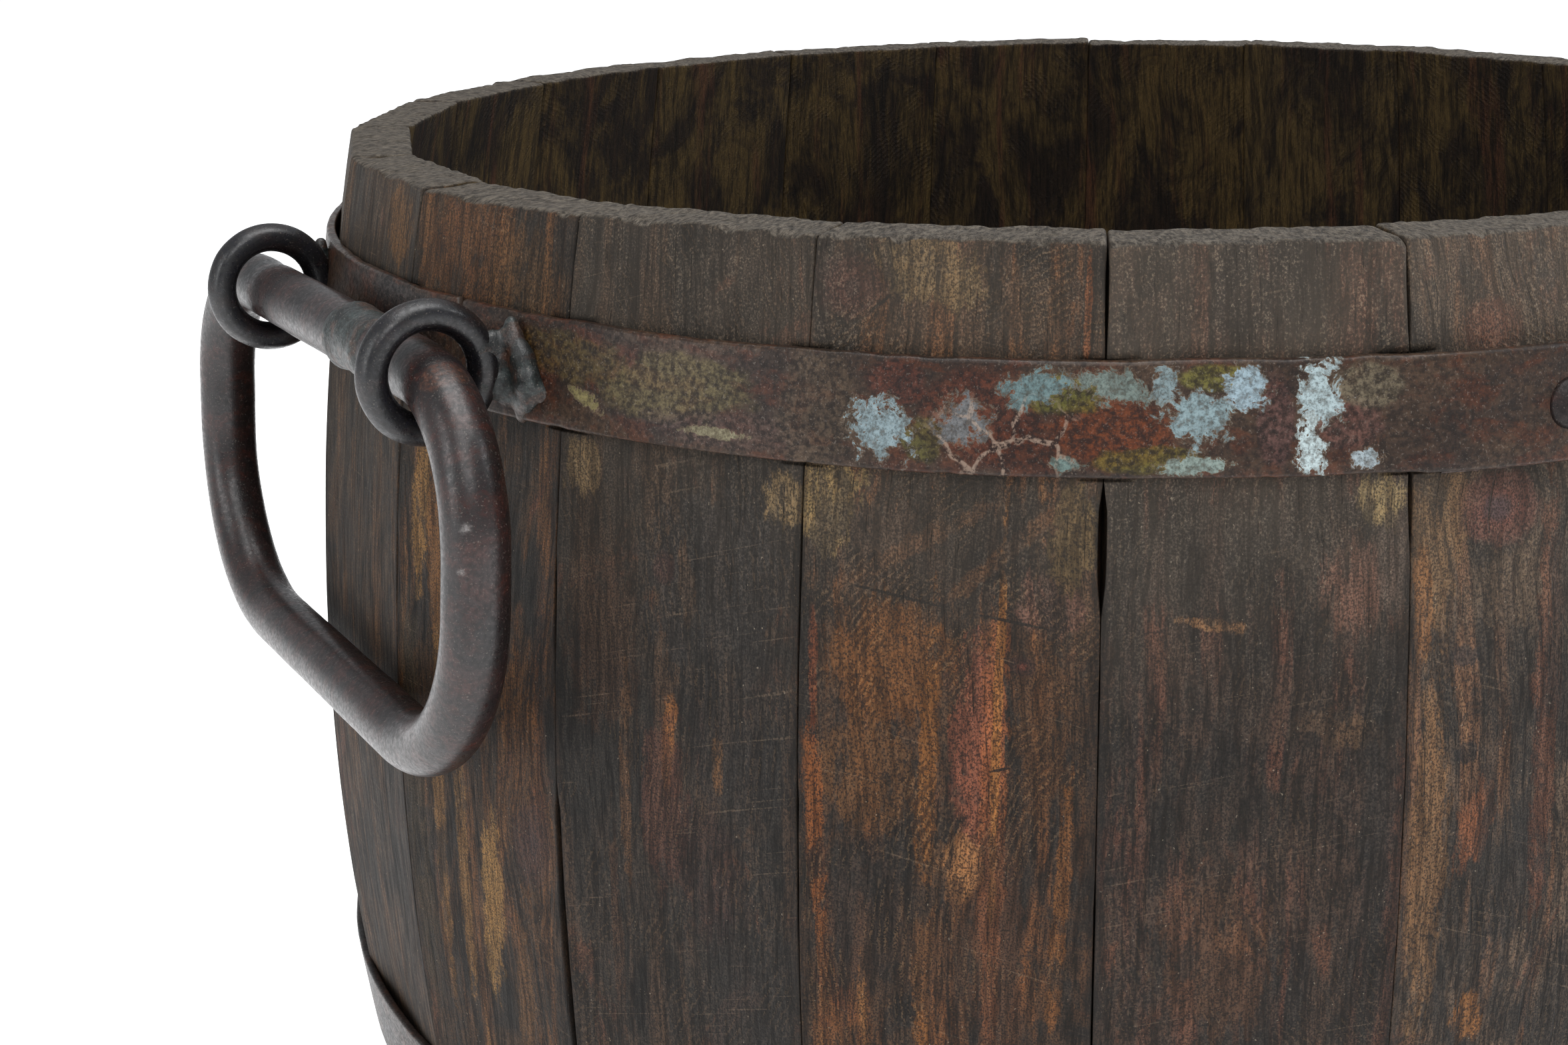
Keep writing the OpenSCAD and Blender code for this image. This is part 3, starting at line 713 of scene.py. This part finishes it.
def rivets(name, low, lap, node):
    points, faces, start = [], [], 0
    taper = math.atan((seat_r(low, 0) - seat_r(low, HOOP_W)) / HOOP_W)
    ball = (RIVET_HEAD_R ** 2 + RIVET_HEAD_H ** 2) / (2 * RIVET_HEAD_H)
    for number, a in enumerate(RIVET_ANGLES):
        out, round_it = outward(lap + a)
        out = out * math.cos(taper) + np.array([0, 0, 1]) * math.sin(taper)
        lift = np.cross(out, round_it)
        heart = outward(lap + a)[0] * (seat_r(low, HOOP_W / 2) + 2 * HOOP_T + 0.25)
        heart = heart + np.array([0, 0, low + HOOP_W / 2])
        profile = [(2.6, -5.2), (2.8, -3), (RIVET_HEAD_R - 0.9, -0.35), (RIVET_HEAD_R, 0.05)]
        for k in range(1, 9):
            r = RIVET_HEAD_R * (1 - k / 9.3)
            profile.append((r, RIVET_HEAD_H - ball + math.sqrt(ball ** 2 - r ** 2)))
        turn = np.radians(np.arange(0, 360, 10))
        spoke = [(1 + 0.03 * math.sin(2 * t + number)) * (round_it * math.cos(t) + lift * math.sin(t))
                 for t in turn]
        rings = np.array([[heart + out * rise + r * way for way in spoke] for r, rise in profile])
        rings = rings + 0.12 * smooth_noise(rings, 3.5, 800 + number)[..., None] * out
        made, made_faces = swept(rings, closed=False)
        points.append(made)
        faces += [[v + start for v in f] for f in made_faces]
        start += len(made)
    points = np.concatenate(points)
    piece(f"{name}_rivet_heads", points, faces, rivet_iron, node, slot="rivet_iron", flip=True,
          place=points)


def arc(angle):
    """Where an angle from the left handle lies along the upper hoop's strap, in the layer "band"."""
    return math.radians(angle + (360 if angle < UPPER_LAP else 0)) * HOOP_ARC_R


rivet_iron = iron("rivet_iron", "place", 41, base="241b19", rust="3a2018", dark="151112", rusty=0.35,
                  gloss=0.4, speckle=0.12, shine=0.2)
upper_iron = iron(
    "upper_hoop_iron", "band", 5, base="3f3025", rust="4a2616", dark="2c211b", rusty=0.6, gloss=0.32,
    bump_mm=0.14, speckle=0.14, shine=0.22, spots=[
        (arc(5), 14, 30, 16, 0, "261c19", 0.85), (arc(17.5), 13, 20, 12, 4, "47281b", 0.85),
        (arc(23), 19, 24, 7, 2, "4f4322", 0.55), (arc(30), 15, 26, 9, -3, "635936", 0.55),
        (arc(34), 6, 26, 5, 0, "4a3832", 0.6), (arc(39), 14, 12, 14, 0, "4d4032", 0.6),
        (arc(43.5), 22, 8, 6, 0, "4e2a20", 0.8), (arc(48), 14, 15, 13, 0, "51281a", 0.8),
        (arc(55), 11, 17, 9, 0, "5c2d14", 0.9), (arc(50.5), 6, 12, 6, 0, "45200f", 0.8),
        (arc(52.5), 20, 10, 5, 0, "55541f", 0.7), (arc(57), 4.5, 15, 3.4, 0, "5a5220", 0.75),
        (arc(45), 8, 6, 6, 0, "4d4b24", 0.7), (arc(60.5), 24, 9, 3.5, 0, "66632b", 0.7),
        (arc(63.6), 13, 5, 12, 0, "533a36", 0.8), (arc(67.5), 12, 9, 7, 0, "5a3e38", 0.7),
        (arc(73.2), 19, 18, 11, 0, "7f7b6e", 0.9), (arc(77), 13, 12, 9, 0, "56474a", 0.8),
        (arc(75), 4, 26, 4.5, 0, "6a6163", 0.85), (arc(68.5), 21, 9, 6, 0, "68604e", 0.7),
    ],
    flakes=[
        (arc(42.7), 10, 8, 7.5, 12, "76878c"), (arc(47.1), 12.5, 6.5, 6, 0, "5c5e60"),
        (arc(51.1), 21.5, 8, 4.4, -8, "566b6d"), (arc(55.4), 22, 8.5, 4.2, 8, "5f6b66"),
        (arc(57.8), 22.5, 4, 4, 0, "6d7d80"), (arc(59.6), 14, 8.5, 6, -20, "74878b"),
        (arc(62.0), 21.7, 5.6, 4.6, 10, "8497a0"), (arc(66.1), 19.5, 6.2, 7.2, 0, "93a3a6"),
        (arc(65.4), 6.5, 4, 7, 0, "a9b8ba"), (arc(68.5), 3.4, 4.6, 2.6, 0, "8f9ba0"),
        (arc(59.5), 3.3, 9, 2, 0, "74827c"), (arc(52.6), 3.4, 4.4, 2, 0, "576a66"),
        (arc(24), 9, 5, 2, 20, "6d6440"), (arc(33), 5, 9, 1.4, 0, "77715a"),
    ],
    veins=[(arc(49.5), 9, 21, 12, 0, "857365")])
lower_iron = iron("lower_hoop_iron", "band", 19, base="302622", rust="4a2a1b", dark="1e1a1a",
                  rusty=0.55, gloss=0.34, bump_mm=0.16, speckle=0.15, shine=0.25)
hoop("upper_hoop", UPPER_Z, UPPER_LAP, upper_iron, notch=(360 + 12.3, 0.36, 6.0))
hoop("lower_hoop", LOWER_Z, LOWER_LAP, lower_iron)


# ---- Eyes, their welds and the handles, worked out on +X and turned half round for the left ----

def on_side(points, side):
    return points * np.array([-1, -1, 1]) if side == "left" else points


def tube(path, radius, around, closed=True, first=(1, 0, 0)):
    """Rings round a path that lies square to "first". The radius may vary along it and round it."""
    path = np.asarray(path, float)
    if closed:
        ahead = np.roll(path, -1, 0) - np.roll(path, 1, 0)
    else:
        ahead = np.gradient(path, axis=0)
    ahead /= np.linalg.norm(ahead, axis=1, keepdims=True)
    side = np.broadcast_to(np.array(first, float), path.shape)
    other = np.cross(ahead, side)
    turn = np.radians(np.arange(around) * 360 / around)
    spoke = side[:, None] * np.cos(turn)[None, :, None] + other[:, None] * np.sin(turn)[None, :, None]
    return path[:, None] + spoke * np.asarray(radius).reshape(len(path), -1)[..., None], spoke


def eye(side, where, material):
    s = EYE_PLACES[where]
    turn = np.radians(np.arange(0, 360, 4))
    middle = np.array([AXIS_R, s, EYE_Z])
    path = middle + EYE_R * np.stack([np.cos(turn), np.zeros_like(turn), np.sin(turn)], -1)
    around = 32
    section = np.radians(np.arange(around) * 360 / around)
    # The section is a little wider along the eye's axis, with a soft ridge down each shoulder
    shape = 1 + 0.05 * np.cos(2 * section) - 0.025 * np.cos(6 * section)
    rings, spoke = tube(path, WIRE_R * np.repeat(shape[None], len(turn), 0), around, first=(0, 1, 0))
    rough = 0.10 * smooth_noise(rings, 7, 500 + int(s))
    inner = np.clip(-np.einsum("ijk,ijk->ij", spoke, (path - middle)[:, None] / EYE_R), 0, 1)
    rings = rings + spoke * (rough - 0.1 * inner - 0.05)[..., None]
    points, faces = swept(rings, closed=True)
    points = on_side(points, side)
    piece(f"{side}_{where}_eye_ring", points, faces, material, f"{side}_{where}_eye", slot="eye_iron",
          place=points)


# How fine the welds are meshed, and how rough they are
WELD_VOXEL, WELD_ROUGH = 0.75, 0.35


def melted(name, balls, material, node, seed):
    """Lumps of metal that have run together. Balls are (x, y, z, rx, ry, rz)."""
    made = bmesh.new()
    for x, y, z, rx, ry, rz in balls:
        bmesh.ops.create_icosphere(made, subdivisions=4, radius=1.0, matrix=Matrix.LocRotScale(
            Vector((x, y, z)), None, Vector((rx, ry, rz))))
    mesh = bpy.data.meshes.new(name + "_rough")
    made.to_mesh(mesh)
    made.free()
    lump = bpy.data.objects.new(name + "_rough", mesh)
    bpy.context.scene.collection.objects.link(lump)
    remesh = lump.modifiers.new("remesh", "REMESH")
    remesh.mode = "VOXEL"
    remesh.voxel_size = WELD_VOXEL
    soften = lump.modifiers.new("soften", "SMOOTH")
    soften.factor = 0.5
    soften.iterations = 9
    made = lump.evaluated_get(bpy.context.evaluated_depsgraph_get()).to_mesh()
    points = np.array([v.co for v in made.vertices], float)
    normals = np.array([v.normal for v in made.vertices], float)
    faces = [list(p.vertices) for p in made.polygons]
    bpy.data.objects.remove(lump)
    bpy.data.meshes.remove(mesh)
    lumpy = WELD_ROUGH * (smooth_noise(points, 4.2, seed) + 0.45 * smooth_noise(points, 1.8, seed + 1))
    points = points + normals * lumpy[:, None]
    piece(name, points, faces, material, node, slot="weld_metal", place=points)


def eye_weld(side, where, material):
    """Weld between an eye and the strap, with a web that runs up to the strap's top edge."""
    s = EYE_PLACES[where]
    away = 1 if where == "front" else -1

    def lump(along, up, out, radius_x, radius_y, radius_z):
        y = s + away * along
        x = math.sqrt((seat_r(UPPER_Z, HOOP_W / 2) + HOOP_T) ** 2 - y ** 2)
        return x + out, y, EYE_Z + up, radius_x, radius_y, radius_z

    balls = [
        lump(3.0, 10.0, 0.6, 2.2, 2.4, 3.4), lump(4.0, 6.5, 1.2, 3.2, 3.8, 4.6),
        lump(7.0, 2.0, 1.6, 3.6, 5.0, 5.6), lump(9.0, -3.5, 1.8, 3.8, 5.2, 5.4),
        lump(8.0, -8.5, 1.2, 3.2, 4.4, 4.2), lump(5.0, -12.5, 0.4, 2.2, 3.2, 3.6),
        lump(2.0, -5.0, 1.8, 4.0, 4.2, 7.0), lump(12.0, -6.5, 0.2, 1.8, 3.2, 3.4),
        lump(1.0, 3.0, 2.2, 3.8, 3.8, 6.0),
    ]
    if where == "front":
        reach_x = AXIS_R - EYE_R + 1
        balls += [
            (x, s + away * 1.6, EYE_Z + up, 3.4, 3.2, 4.6)
            for x in np.linspace(balls[-1][0], reach_x, 3) for up in (-5, 5)
        ]
    flip = -1 if side == "left" else 1
    balls = [(flip * x, flip * y, z, rx, ry, rz) for x, y, z, rx, ry, rz in balls]
    seed = 600 + int(s) + (0 if side == "left" else 7)
    melted(f"{side}_{where}_eye_weld_lump", balls, material, f"{side}_{where}_eye_weld", seed)


def handle_frame(points, side):
    """Moves points from the handle's own frame, hanging along -Z from the origin, to the tub."""
    a = math.radians(-LEAN)
    turned = np.array(points, float)
    x, z = turned[..., 0].copy(), turned[..., 2].copy()
    turned[..., 0] = x * math.cos(a) + z * math.sin(a)
    turned[..., 2] = -x * math.sin(a) + z * math.cos(a)
    return on_side(turned + np.array([AXIS_R, 0, AXIS_Z]), side)


def handle_path():
    """The middle of the bar, from the middle of the top once round."""
    half = HANDLE_W / 2
    pieces = [np.stack([np.linspace(0, half - TOP_BEND_R, 26)[:-1], np.zeros(25)], -1)]

    def quarter(y, z, r, start, count):
        a = np.radians(np.linspace(start, start - 90, count + 1)[:-1])
        return np.stack([y + r * np.cos(a), z + r * np.sin(a)], -1)

    low_z = LOW_BEND_R - HANDLE_H
    pieces.append(quarter(half - TOP_BEND_R, -TOP_BEND_R, TOP_BEND_R, 90, 20))
    pieces.append(np.stack([np.full(6, half), np.linspace(-TOP_BEND_R, low_z, 7)[:-1]], -1))
    pieces.append(quarter(half - LOW_BEND_R, low_z, LOW_BEND_R, 0, 34))
    right = np.concatenate(pieces)
    low_y = half - LOW_BEND_R
    bottom = np.stack([np.linspace(low_y, -low_y, 26)[:-1], np.full(25, -HANDLE_H)], -1)
    left = right[::-1] * np.array([-1, 1])
    both = np.concatenate([right, bottom, left[:-1]])
    return np.stack([np.zeros(len(both)), both[:, 0], both[:, 1]], -1)


def handle(side, material, collar_material):
    path = handle_path()
    along = np.concatenate([[0], np.cumsum(np.linalg.norm(np.diff(path, axis=0), axis=1))])
    bar = BAR_R + 0.16 * smooth_noise(np.stack([along, along * 0, along * 0], -1), (38, 1, 1), 71)
    bar = np.minimum(bar, BAR_R + 0.05)
    rings, spoke = tube(path, np.repeat(bar[:, None], 40, 1), 40)
    dents = 0.10 * smooth_noise(rings, 11, 72)
    dents += 0.04 * smooth_noise(rings, 3.5, 73)
    chip = -0.5 * np.clip(smooth_noise(rings, 4.5, 74) - 0.72, 0, 1)
    worn = np.zeros_like(dents)
    for s in EYE_PLACES.values():
        near = 1 - step(np.abs(rings[..., 1] - s), 3, 8)
        worn += 0.3 * near * step(rings[..., 2], -14, -2) * step(spoke[..., 2], -0.2, 0.8)
    rings = rings + spoke * (dents + chip - worn - 0.06)[..., None]
    own = rings.reshape(-1, 3).copy()
    rings = handle_frame(rings, side)
    points, faces = swept(rings, closed=True)
    piece(f"{side}_handle_bar", points, faces, material, f"{side}_handle", f"{side}_handle",
          slot="handle_iron", place=own)
    # The weld that closes the bar: a rough sleeve with a bead at each end
    s = np.linspace(COLLAR_FROM + 0.6, COLLAR_TO - 0.6, 44)
    middle = np.stack([np.zeros_like(s), s, np.zeros_like(s)], -1)
    ends = np.minimum(step(s, COLLAR_FROM, COLLAR_FROM + 5), step(s, COLLAR_TO, COLLAR_TO - 5))
    bead = np.exp(-((s - COLLAR_FROM - 6) / 3.2) ** 2) + np.exp(-((s - COLLAR_TO + 6) / 3.2) ** 2)
    thick = BAR_R - 0.5 + 1.05 * ends + 0.35 * bead
    rings, spoke = tube(middle, np.repeat(thick[:, None], 40, 1), 40, closed=False)
    rough = 0.34 * smooth_noise(rings, 4, 75)
    rough += 0.16 * smooth_noise(rings, 1.7, 76)
    rings = rings + spoke * (rough * ends[:, None] - 0.12)[..., None]
    own = np.concatenate([rings.reshape(-1, 3), middle[:1], middle[-1:]])
    points, faces = swept(handle_frame(rings, side), closed=False)
    piece(f"{side}_handle_weld_sleeve", points, faces, collar_material, f"{side}_handle_weld",
          f"{side}_handle", slot="weld_metal", place=own)


eye_iron = iron("eye_iron", "place", 11, base="15151a", rust="2e1d17", dark="0e0e12", rusty=0.3,
                gloss=0.28, bump_mm=0.10, speckle=0.14)
weld_metal = iron("weld_metal", "place", 23, base="2c3433", rust="6a3d24", dark="171a1a", rusty=0.3,
                  gloss=0.36, bump_mm=0.3, speckle=0.2)
handle_iron = iron(
    "handle_iron", "place", 31, base="2a1c1b", rust="3f1f18", dark="191314", rusty=0.5, gloss=0.28,
    bump_mm=0.08, speckle=0.16, spots=[
        (5, -30, 3.0, 3.6, 10, "8f8b8a", 0.85, 106, 12), (6, -42, 1.6, 1.9, 0, "8f8b8a", 0.7, 110, 12),
        (-2, -3, 8, 7, 0, "5a3320", 0.6, 86, 9), (2, 4, 8, 6, 0, "5a3828", 0.5, 94, 5)])
for side in ("left", "right"):
    for where in EYE_PLACES:
        eye(side, where, eye_iron)
        eye_weld(side, where, weld_metal)
    handle(side, handle_iron, weld_metal)

# ---- Pieces that keep their CAD shape ----

dowel_wood = timber("dowel_wood", seed=88, dark="6a5238", mid="86694a", warm="9a7850", pale="b0906a")
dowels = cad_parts["bottom_dowels"]
dowels.data.materials.clear()
dowels.data.materials.append(dowel_wood)

# ---- Floor, light and camera, in metres and degrees ----

FLOOR_REACH, FLOOR_GLOW = 14.0, 0.5
SKY_BRIGHT, SKY_DIM, SKY_DIM_FROM = 0.97, 0.5, 0.22
CAMERA_PLACE = (-0.4745, -0.6498, 0.4496)
CAMERA_HEADING, CAMERA_DIP, CAMERA_ROLL = -28.45, 16.99, -1.07
CAMERA_LENS_MM, CAMERA_SENSOR_MM = 53.9, 36

floor_mesh = bpy.data.meshes.new("floor")
floor_corners = [(x * FLOOR_REACH, y * FLOOR_REACH, 0) for x, y in ((-1, -1), (1, -1), (1, 1), (-1, 1))]
floor_mesh.from_pydata(floor_corners, [], [(0, 1, 2, 3)])
floor = bpy.data.objects.new("floor", floor_mesh)
bpy.context.scene.collection.objects.link(floor)
paper = Shader("floor_paper")
soft = paper.noise(paper.node("TexCoord", {}, "Object"), (0.4, 0.4, 0.4), 2.0)
paper.put(paper.surface.inputs["Base Color"], paper.mix(soft, "fbfbfb", "ffffff"))
paper.surface.inputs["Roughness"].default_value = 0.9
paper.surface.inputs["Emission Color"].default_value = (1, 1, 1, 1)
paper.surface.inputs["Emission Strength"].default_value = FLOOR_GLOW
floor_mesh.materials.append(paper.material)


def lamp(name, place, look_at, size, watts, colour=(1, 1, 1)):
    data = bpy.data.lights.new(name, "AREA")
    data.shape = "RECTANGLE"
    data.size, data.size_y = size
    data.energy = watts
    data.color = colour
    made = bpy.data.objects.new(name, data)
    bpy.context.scene.collection.objects.link(made)
    made.location = place
    made.rotation_euler = (Vector(look_at) - Vector(place)).to_track_quat("-Z", "Y").to_euler()


lamp("key", (-1.2, -1.9, 2.3), (0, 0, 0.25), (1.6, 1.6), 30)
lamp("top", (0.0, -0.2, 2.5), (0, 0, 0.3), (1.8, 1.8), 52)
lamp("left", (-2.3, -0.1, 1.1), (0, 0, 0.2), (0.8, 1.6), 16, (0.97, 0.99, 1.0))
lamp("side", (2.2, -1.2, 1.4), (0, 0, 0.2), (1.2, 1.8), 52, (0.94, 0.97, 1.0))

world = bpy.data.worlds.new("studio")
world.use_nodes = True
world.node_tree.nodes["Background"].inputs["Color"].default_value = (0.94, 0.97, 1, 1)
# The sky is brightest at the horizon and dims up to a height of SKY_DIM_FROM along a unit direction
sky = world.node_tree.nodes
height = sky.new("ShaderNodeSeparateXYZ")
glow = sky.new("ShaderNodeMapRange")
glow.inputs["From Max"].default_value = SKY_DIM_FROM
glow.inputs["To Min"].default_value = SKY_BRIGHT
glow.inputs["To Max"].default_value = SKY_DIM
world.node_tree.links.new(sky.new("ShaderNodeTexCoord").outputs["Generated"], height.inputs[0])
world.node_tree.links.new(height.outputs["Z"], glow.inputs["Value"])
world.node_tree.links.new(glow.outputs[0], sky["Background"].inputs["Strength"])
bpy.context.scene.world = world
bpy.context.scene.view_settings.view_transform = "Standard"

camera_data = bpy.data.cameras.new("camera")
camera_data.sensor_width = CAMERA_SENSOR_MM
camera_data.lens = CAMERA_LENS_MM
camera_data.clip_start = 0.02
camera = bpy.data.objects.new("camera", camera_data)
camera.matrix_world = (
    Matrix.Translation(CAMERA_PLACE)
    @ Matrix.Rotation(math.radians(CAMERA_HEADING), 4, "Z")
    @ Matrix.Rotation(math.radians(90 - CAMERA_DIP), 4, "X")
    @ Matrix.Rotation(math.radians(CAMERA_ROLL), 4, "Z"))
bpy.context.scene.collection.objects.link(camera)
bpy.context.scene.camera = camera
